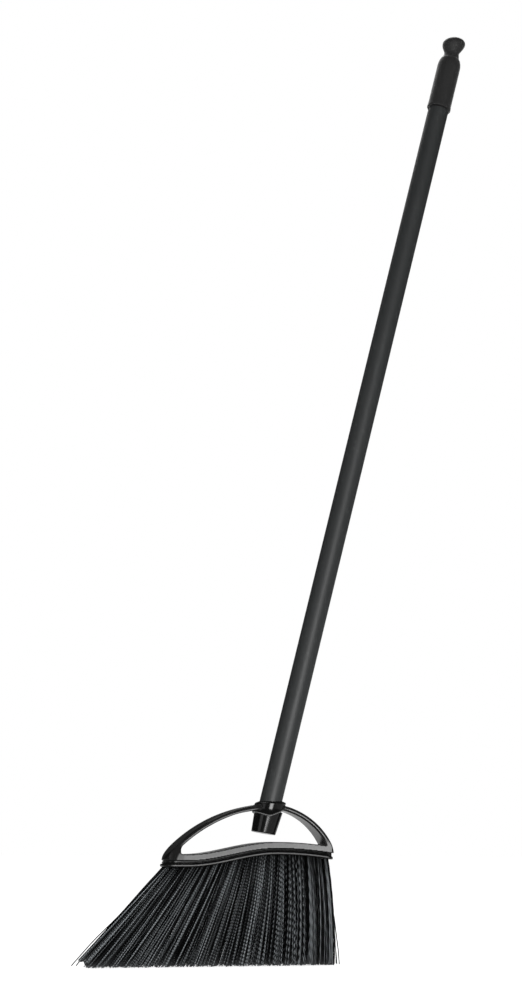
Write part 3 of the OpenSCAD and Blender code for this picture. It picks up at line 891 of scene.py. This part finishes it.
# What is the same for all strips; lengths are in metres
# facing_base, facing_gain, inner_gain, crest, side_start, side_fall, least_light, root_shade and root_fade
# set the painted light and shade in the filaments' tone, as crimp_shade above sets the strength of the
# painted crimp highlights
SHARED_SIZES = dict(
    locks=8.0, row_pitch=0.0062, tip_row_pitch=0.0092, hole_radius=0.0029, hole_stretch=1.2, root_sink=0.0004,
    tip_lift=0.0003, tip_spread_y=0.0042, tip_scatter=0.2, tuft_wander=0.0008, loose=1.0, tip_ragged=0.0024,
    crimp_scatter=0.8, crimp_slant=4.6, crimp_flatness=0.8, drift=0.0008, backing_depth=0.023,
    backing_thickness=0.002, backing_gap=0.0001, dimmest=0.35, dark_tone=0.02, facing_base=0.55,
    facing_gain=0.6, inner_gain=1.9, crest=0.85, side_start=3.2, side_fall=3.6, least_light=0.05,
    root_shade=0.22, root_fade=4.0, crimp_onset=12.0, toe_slant=0.3, ragged_power=1.8, loose_power=3.0)


def bristle_tree(inputs):
    """One strip of four tufts: crimped filaments in small locks, from hole to floor, under a backing."""
    sockets = [("geometry", "OUTPUT", "NodeSocketGeometry", None)]
    for label, value in inputs.items():
        kind = "Int" if isinstance(value, int) else "Float" if isinstance(value, float) else "Material"
        sockets.append((label, "INPUT", "NodeSocket" + kind, None))
    g, given, result = make_group("bristle_strip", "GeometryNodeTree", sockets)
    v = SimpleNamespace(**given)

    number = g.add("GeometryNodeInputIndex")
    filament = g.math("FLOOR", (number + 0.5) / v.points)
    share = (number - filament * v.points) / (v.points - 1.0)
    row = filament % float(TUFT_ROWS)
    row_share = row - (TUFT_ROWS - 1) / 2

    def scatter(low, high, shift, of_which=filament):
        """A random value for each filament, or for each row or lock of filaments."""
        inputs = {2: low, 3: high, "ID": of_which, "Seed": v.seed + shift}
        return g.add("FunctionNodeRandomValue", inputs, 1, data_type="FLOAT")

    def in_disc(shift, of_which):
        angle = scatter(0.0, TURN, shift, of_which)
        reach = g.math("SQRT", scatter(0.0, 1.0, shift + 1, of_which))
        return reach * g.math("COSINE", angle), reach * g.math("SINE", angle)

    # where each filament stands in its hole, and where it ends on the floor
    lock = g.math("FLOOR", scatter(0.0, v.locks, 5)) + row * LOCK_NUMBERS
    own, shared = in_disc(11, filament), in_disc(23, lock)
    out_x, out_y = (between(v.lock_share, *pair) for pair in zip(own, shared))
    parity = row % 2.0 * 2.0 - 1.0
    place = 0.5 - parity * v.stagger
    width = v.strip_end - v.strip_start
    root_x = between(place, v.strip_start, v.strip_end) + out_x * v.hole_radius * v.hole_stretch
    root_y = row_share * v.row_pitch + out_y * v.hole_radius
    root_z = between((root_x - v.strip_start) / width, v.root_start, v.root_end) + v.root_sink
    loose = 1.0 + scatter(0.0, 1.0, 107) ** v.loose_power * v.loose
    spread_x = (out_x + v.tip_scatter * scatter(-1.0, 1.0, 31)) * loose * v.tip_spread_x
    spread_y = (out_y + v.tip_scatter * scatter(-1.0, 1.0, 37)) * v.tip_spread_y
    wander = scatter(-1.0, 1.0, 103, row) * v.tuft_wander
    tip_x = between(place, v.tip_start, v.tip_end) + spread_x + wander
    tip_y = row_share * v.tip_row_pitch + spread_y
    root = g.vector(root_x, root_y, root_z)
    line = g.vector_math("SUBTRACT", g.vector(tip_x, tip_y, v.tip_lift), root)
    length = g.vector_math("LENGTH", line, pick="Value")

    # each filament stops a little short of the floor, and those at the toe of the fan are trimmed higher
    toe = between(place + out_x * v.toe_slant, v.trim_start, v.trim_end)
    short_by = g.math("MAXIMUM", toe, 0.0) + scatter(0.0, 1.0, 41) ** v.ragged_power * v.tip_ragged
    way = share * (1.0 - short_by / root_z)
    gone = g.add("ShaderNodeVectorMath", {0: line, "Scale": way}, operation="SCALE")
    hump = way * (1.0 - way) * 4.0

    # the filaments of a tuft are crimped in step, a little later from one side of the tuft to the other
    phase = scatter(0.0, TURN, 47, row) + scatter(-1.0, 1.0, 53) * v.crimp_scatter
    phase += parity * out_x * v.crimp_slant
    wave = g.math("SINE", phase + way * length / v.crimp_length * TURN)
    crimp = wave * g.math("MINIMUM", way * v.crimp_onset, 1.0) * v.crimp_depth
    drift = hump * v.drift
    shift_x = crimp + hump * v.bow + drift * scatter(-1.0, 1.0, 61)
    shift_y = crimp * v.crimp_flatness + drift * scatter(-1.0, 1.0, 71)
    position = g.vector_math("ADD", g.vector_math("ADD", root, gone), g.vector(shift_x, shift_y, 0.0))

    # painted light and shade in each filament's tone: filaments facing out of the brush are painted lighter
    # and those facing in darker, the inner rows are painted brighter, the crests of the crimps get painted
    # highlights and their troughs painted shade, and the sides of each tuft and its root get painted shade
    outward = g.math("SIGN", row_share) * out_y
    shown = g.within(outward * v.facing_gain + v.facing_base, v.least_light, 1.0)
    shown = shown * between(abs(row_share) > 1.0, v.inner_gain, 1.0)
    bright = scatter(0.0, 1.0, 83) > v.dark_share
    own_tone = bright * scatter(v.dimmest, 1.0, 89) + scatter(0.0, v.dark_tone, 97)
    crest = between(v.crimp_shade, 1.0, v.crest - wave * v.crest)
    beside = g.within(v.side_start - abs(out_x) * v.side_fall, v.least_light, 1.0)
    rooted = between(g.math("MINIMUM", share * v.root_fade, 1.0), v.root_shade, 1.0)
    tone = own_tone * shown * crest * v.tone_gain * beside * rooted

    strands = g.add("GeometryNodePoints", {"Count": v.filaments * v.points})
    strands = g.add("GeometryNodeSetPosition", {"Geometry": strands, "Position": position})
    for label, field in (("tone", tone), ("along", share)):
        inputs = {"Geometry": strands, "Name": label, "Value": field}
        strands = g.add("GeometryNodeStoreNamedAttribute", inputs, data_type="FLOAT", domain="POINT")
    inputs = {"Points": strands, "Curve Group ID": filament, "Weight": share}
    strands = g.add("GeometryNodePointsToCurves", inputs)
    strands = g.add("GeometryNodeSetCurveRadius", {"Curve": strands, "Radius": 1.0})
    section = g.add("GeometryNodeCurvePrimitiveCircle", {"Resolution": 3, "Radius": v.filament_radius})
    inputs = {"Curve": strands, "Profile Curve": section, "Fill Caps": True}
    strands = g.add("GeometryNodeCurveToMesh", inputs)
    strands = g.add("GeometryNodeSetShadeSmooth", {"Geometry": strands})

    # the backing follows the slope of the rail
    size = g.vector(width - v.backing_gap, v.backing_depth, v.backing_thickness)
    slab = g.add("GeometryNodeMeshCube", {"Size": size})
    rise = g.parts(g.add("GeometryNodeInputPosition"))["X"] * ((v.root_end - v.root_start) / width)
    middle_x = between(0.5, v.strip_start, v.strip_end)
    middle_z = between(0.5, v.root_start, v.root_end) + v.backing_thickness * 0.5
    offset = g.vector(middle_x, 0.0, middle_z + rise)
    slab = g.add("GeometryNodeSetPosition", {"Geometry": slab, "Offset": offset})

    whole = g.node("GeometryNodeJoinGeometry")
    for part, finish in ((slab, v.backing_material), (strands, v.filament_material)):
        part = g.add("GeometryNodeRealizeInstances", {"Geometry": part})
        g.fill(whole, {0: g.add("GeometryNodeSetMaterial", {"Geometry": part, "Material": finish})})
    g.fill(result, {0: Value(g, whole.outputs[0])})
    return g.tree


def grown_mesh(tree, inputs):
    """The plain mesh that a tree of geometry nodes gives with these inputs."""
    host = new_object("host", bpy.data.meshes.new("host"))
    modifier = host.modifiers.new("grow", "NODES")
    modifier.node_group = tree
    identifiers = {s.name: s.identifier for s in tree.interface.items_tree
                   if s.item_type == "SOCKET" and s.in_out == "INPUT"}
    for label, value in inputs.items():
        modifier[identifiers[label]] = value
    host.update_tag()
    depsgraph = bpy.context.evaluated_depsgraph_get()
    mesh = bpy.data.meshes.new_from_object(host.evaluated_get(depsgraph), depsgraph=depsgraph)
    bpy.data.meshes.remove(host.data)
    return mesh


def fan_lean(share):
    """How far a tuft leans per unit of drop: outwards at the long end, upright from four fifths on."""
    upright_from, long_end, short_end, falloff = 0.8, -0.90, 0.05, 1.2
    outwards = max(1 - share / upright_from, 0) ** falloff
    inwards = max((share - upright_from) / (1 - upright_from), 0)
    return long_end * outwards + short_end * inwards


def make_bristles():
    tree = None
    for k in range(STRIP_COUNT):
        share = (k + 0.5) / STRIP_COUNT

        def along_head(table):
            return float(np.interp(share, *zip(*table)))

        inputs = SHARED_SIZES | {label: along_head(table) for label, table in SHARES_ALONG_HEAD.items()}
        inputs |= {label: along_head(table) * MM for label, table in LENGTHS_ALONG_HEAD.items()}
        for edge, place in (("start", k / STRIP_COUNT), ("end", (k + 1) / STRIP_COUNT)):
            x = -STRIPS_END + 2 * STRIPS_END * place
            root_z = float(rail_z(x)) - RAIL_H
            inputs["strip_" + edge] = row_x(x)
            inputs["root_" + edge] = root_z * MM
            inputs["tip_" + edge] = row_x(x + fan_lean(place) * root_z)
        length = math.hypot(inputs["root_start"], inputs["tip_start"] - inputs["strip_start"])
        trim_start, trim_end = TOE_TRIM if k == 0 else (0.0, 0.0)
        inputs |= dict(
            seed=100 + 7 * k, filaments=FILAMENTS,
            points=max(LEAST_POINTS, round(along_head(POINTS_PER_CRIMP) * length / inputs["crimp_length"])),
            trim_start=trim_start, trim_end=trim_end,
            tip_spread_x=TIP_SPREAD_SHARE * (inputs["tip_end"] - inputs["tip_start"]),
            stagger=LAST_STAGGER if k == STRIP_COUNT - 1 else STAGGER,
            filament_material=FILAMENT, backing_material=BLOCK_PLASTIC)
        tree = tree or bristle_tree(inputs)
        number = f"{k + 1:02d}"
        new_piece("tufts_" + number, grown_mesh(tree, inputs), FILAMENT, "head", "bristle",
                  "tuft_strip_" + number)


# The few filaments that stand clear of the brush: four at the long end and two at the short end
STRAY_PATHS = (
    ((-82.6, 11.0, 95.3), (-97.8, 12.0, 79.3), (-126.1, 13.0, 47.7),
     (-150.1, 14.0, 25.0), (-171.6, 15.0, 0.8)),
    ((-81.7, 10.5, 95.3), (-96.9, 11.5, 79.3), (-124.8, 12.5, 47.7),
     (-147.1, 13.5, 25.5), (-167.0, 14.5, 0.8)),
    ((-82.1, 10.0, 95.3), (-97.4, 10.5, 79.4), (-115.6, 11.0, 59.2),
     (-125.8, 11.5, 44.9), (-132.8, 12.0, 35.4)),
    ((-81.3, 10.0, 95.3), (-96.6, 10.6, 79.4), (-119.4, 11.2, 54.5),
     (-129.0, 11.9, 42.1), (-136.6, 12.5, 30.7)),
    ((84.1, -11.5, 58.3), (86.5, -12.4, 47.7), (88.5, -13.2, 30.2),
     (90.5, -14.1, 13.8), (91.1, -15.0, 1.1)),
    ((84.1, -11.5, 48.6), (85.9, -12.2, 36.0), (87.5, -13.0, 20.6),
     (88.5, -13.8, 9.0), (88.8, -14.5, 1.0)))
STRAY_R = 0.6
STRAY_TAPER = 0.1
STRAY_TONE = 0.04


def make_strays():
    """Each stray filament is a thin tapered strand."""
    steps, sides = 15, 6
    angles = [TURN * j / sides for j in range(sides)]
    verts, faces = [], []
    for path in STRAY_PATHS:
        knots = np.array(path)
        reach = np.concatenate(([0.0], np.cumsum(np.linalg.norm(np.diff(knots, axis=0), axis=1))))
        places = np.linspace(0, reach[-1], steps)
        line = np.stack([np.interp(places, reach, knots[:, axis]) for axis in range(3)], axis=1)
        line[1:-1] = (line[:-2] + 2 * line[1:-1] + line[2:]) / 4
        rings = (len(verts) + np.arange(steps * sides).reshape(steps, sides)).tolist()
        for k, ahead in enumerate(np.gradient(line, axis=0)):
            aside = np.cross(ahead, (0.0, 1.0, 0.0))
            aside /= np.linalg.norm(aside)
            square = np.cross(ahead, aside) / np.linalg.norm(ahead)
            r = STRAY_R - STRAY_TAPER * k / (steps - 1)
            verts += [line[k] + r * (math.cos(a) * aside + math.sin(a) * square) for a in angles]
        for lower, upper in zip(rings, rings[1:]):
            faces += band_faces(lower, upper)
        faces += [rings[0][::-1], rings[-1]]
    mesh = plain_mesh(verts, faces)
    set_mask(mesh, "tone", np.full(len(verts), STRAY_TONE))
    set_mask(mesh, "along", np.zeros(len(verts)))
    new_piece("stray_filaments", join_meshes(mesh), FILAMENT, "head", "bristle")


make_cap()
make_block()
make_handle()
make_grip()
make_bristles()
make_strays()

threaded_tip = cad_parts["threaded_tip"]
threaded_tip.data.materials.clear()
threaded_tip.data.materials.append(TIP_PLASTIC)


# Studio

FLOOR_HALF = 9.0
FLOOR_GLOW = 0.76
FLOOR_GLOSSY_GLOW = 0.2
FILL_LIGHT = 0.34
DIM_ROOM = 0.05
BACKDROP_WAY = (0.2756, 0.9613, 0.0)
BACKDROP_SIDES = (22, 16)
BACKDROP_TOP = (7, 4)
HEAD_HEIGHT = 0.14
SOFTBOX_DISTANCE = 1.9
# Angle from straight in front towards the right, elevation, width, height and radiance
SOFTBOXES = {"front_softbox": (-2.2, 4, 0.76, 0.54, 22.0),
             "left_softbox": (-60, 8, 0.8, 0.8, 1.6),
             "top_softbox": (170, 62, 1.2, 0.8, 3.0)}
CAMERA_PLACE = (row_x(-518.01), -1.84768, 0.1265)
CAMERA_YAW_PITCH_ROLL = (16, 9.998, 0.371)
SENSOR = 36.0
FOCAL_PIXELS = 1900
FRAME_PIXELS = 1000


def seen_directly(graph):
    """1 for what the camera sees, also through clear things, and 1 for what is seen in a gloss."""
    path = graph.outputs("ShaderNodeLightPath")
    return graph.math("MAXIMUM", path["Is Camera Ray"], path["Is Transmission Ray"]), path["Is Glossy Ray"]


def make_floor():
    mesh = bpy.data.meshes.new("studio_floor")
    corners = [(x * FLOOR_HALF, y * FLOOR_HALF, 0) for x, y in ((-1, -1), (1, -1), (1, 1), (-1, 1))]
    mesh.from_pydata(corners, [], [(0, 1, 2, 3)])
    floor = new_object("studio_floor", mesh)
    material, graph, shader, where = start_material("pale_floor")
    paper = graph.mix_colour(graph.noise(where, 60.0, detail=3.0), grey(0.80), grey(0.84))
    dress(graph, shader, 0.0, paper, 0.9)
    seen, glossy = seen_directly(graph)
    glow = seen * FLOOR_GLOW + glossy * FLOOR_GLOSSY_GLOW
    graph.fill(shader, {"Emission Color": WHITE, "Emission Strength": glow})
    mesh.materials.append(material)


def make_world():
    """A white backdrop behind the object in a dim room; the room itself gives the soft fill light."""
    world = bpy.data.worlds.new("studio")
    bpy.context.scene.world = world
    world.use_nodes = True
    graph = Graph(world.node_tree)
    world.node_tree.nodes.clear()
    way = graph.add("ShaderNodeTexCoord", pick="Generated")
    facing = graph.vector_math("DOT_PRODUCT", way, BACKDROP_WAY, pick="Value")
    beside = graph.ramp(facing, *(math.cos(math.radians(a)) for a in BACKDROP_SIDES))
    below = graph.ramp(graph.parts(way)["Z"], *(math.sin(math.radians(a)) for a in BACKDROP_TOP))
    backdrop = between(beside * below, DIM_ROOM, 1.0)
    fill, white, dim = (graph.add("ShaderNodeBackground", {"Color": WHITE, "Strength": strength})
                        for strength in (FILL_LIGHT, 1.0, backdrop))
    seen, glossy = seen_directly(graph)
    lit = graph.add("ShaderNodeMixShader", {0: glossy, 1: fill, 2: dim})
    both = graph.add("ShaderNodeMixShader", {0: seen, 1: lit, 2: white})
    graph.node("ShaderNodeOutputWorld", {0: both})


def add_softbox(name, azimuth, elevation, width, height, radiance):
    """A softbox that faces the head."""
    target = Vector((row_x(CROWN_X), 0.0, HEAD_HEIGHT))
    a, e = math.radians(azimuth), math.radians(elevation)
    direction = Vector((math.sin(a) * math.cos(e), -math.cos(a) * math.cos(e), math.sin(e)))
    lamp = bpy.data.lights.new(name, "AREA")
    lamp.shape = "RECTANGLE"
    lamp.size, lamp.size_y = width, height
    lamp.energy = radiance * math.pi * width * height
    softbox = new_object(name, lamp)
    softbox.location = target + direction * SOFTBOX_DISTANCE
    softbox.rotation_euler = direction.to_track_quat("Z", "Y").to_euler()
    softbox.visible_camera = False


def make_camera():
    """The camera's place and direction, fitted to the handle, the rail and the floor line."""
    yaw, pitch, roll = map(math.radians, CAMERA_YAW_PITCH_ROLL)
    ahead = Vector((math.sin(yaw) * math.cos(pitch), math.cos(yaw) * math.cos(pitch), math.sin(pitch)))
    level = Vector((math.cos(yaw), -math.sin(yaw), 0.0))
    upright = level.cross(ahead)
    right = math.cos(roll) * level + math.sin(roll) * upright
    up = -math.sin(roll) * level + math.cos(roll) * upright
    camera = bpy.data.cameras.new("photo_camera")
    camera.sensor_width = SENSOR
    camera.lens = SENSOR * FOCAL_PIXELS / FRAME_PIXELS
    camera.clip_end = 60.0
    camera_object = new_object("photo_camera", camera)
    turn = Matrix((right, up, -ahead)).transposed().to_4x4()
    camera_object.matrix_world = Matrix.Translation(CAMERA_PLACE) @ turn
    bpy.context.scene.camera = camera_object


make_camera()
make_floor()
make_world()
for softbox_name, settings in SOFTBOXES.items():
    add_softbox(softbox_name, *settings)
bpy.context.scene.view_settings.view_transform = "Standard"
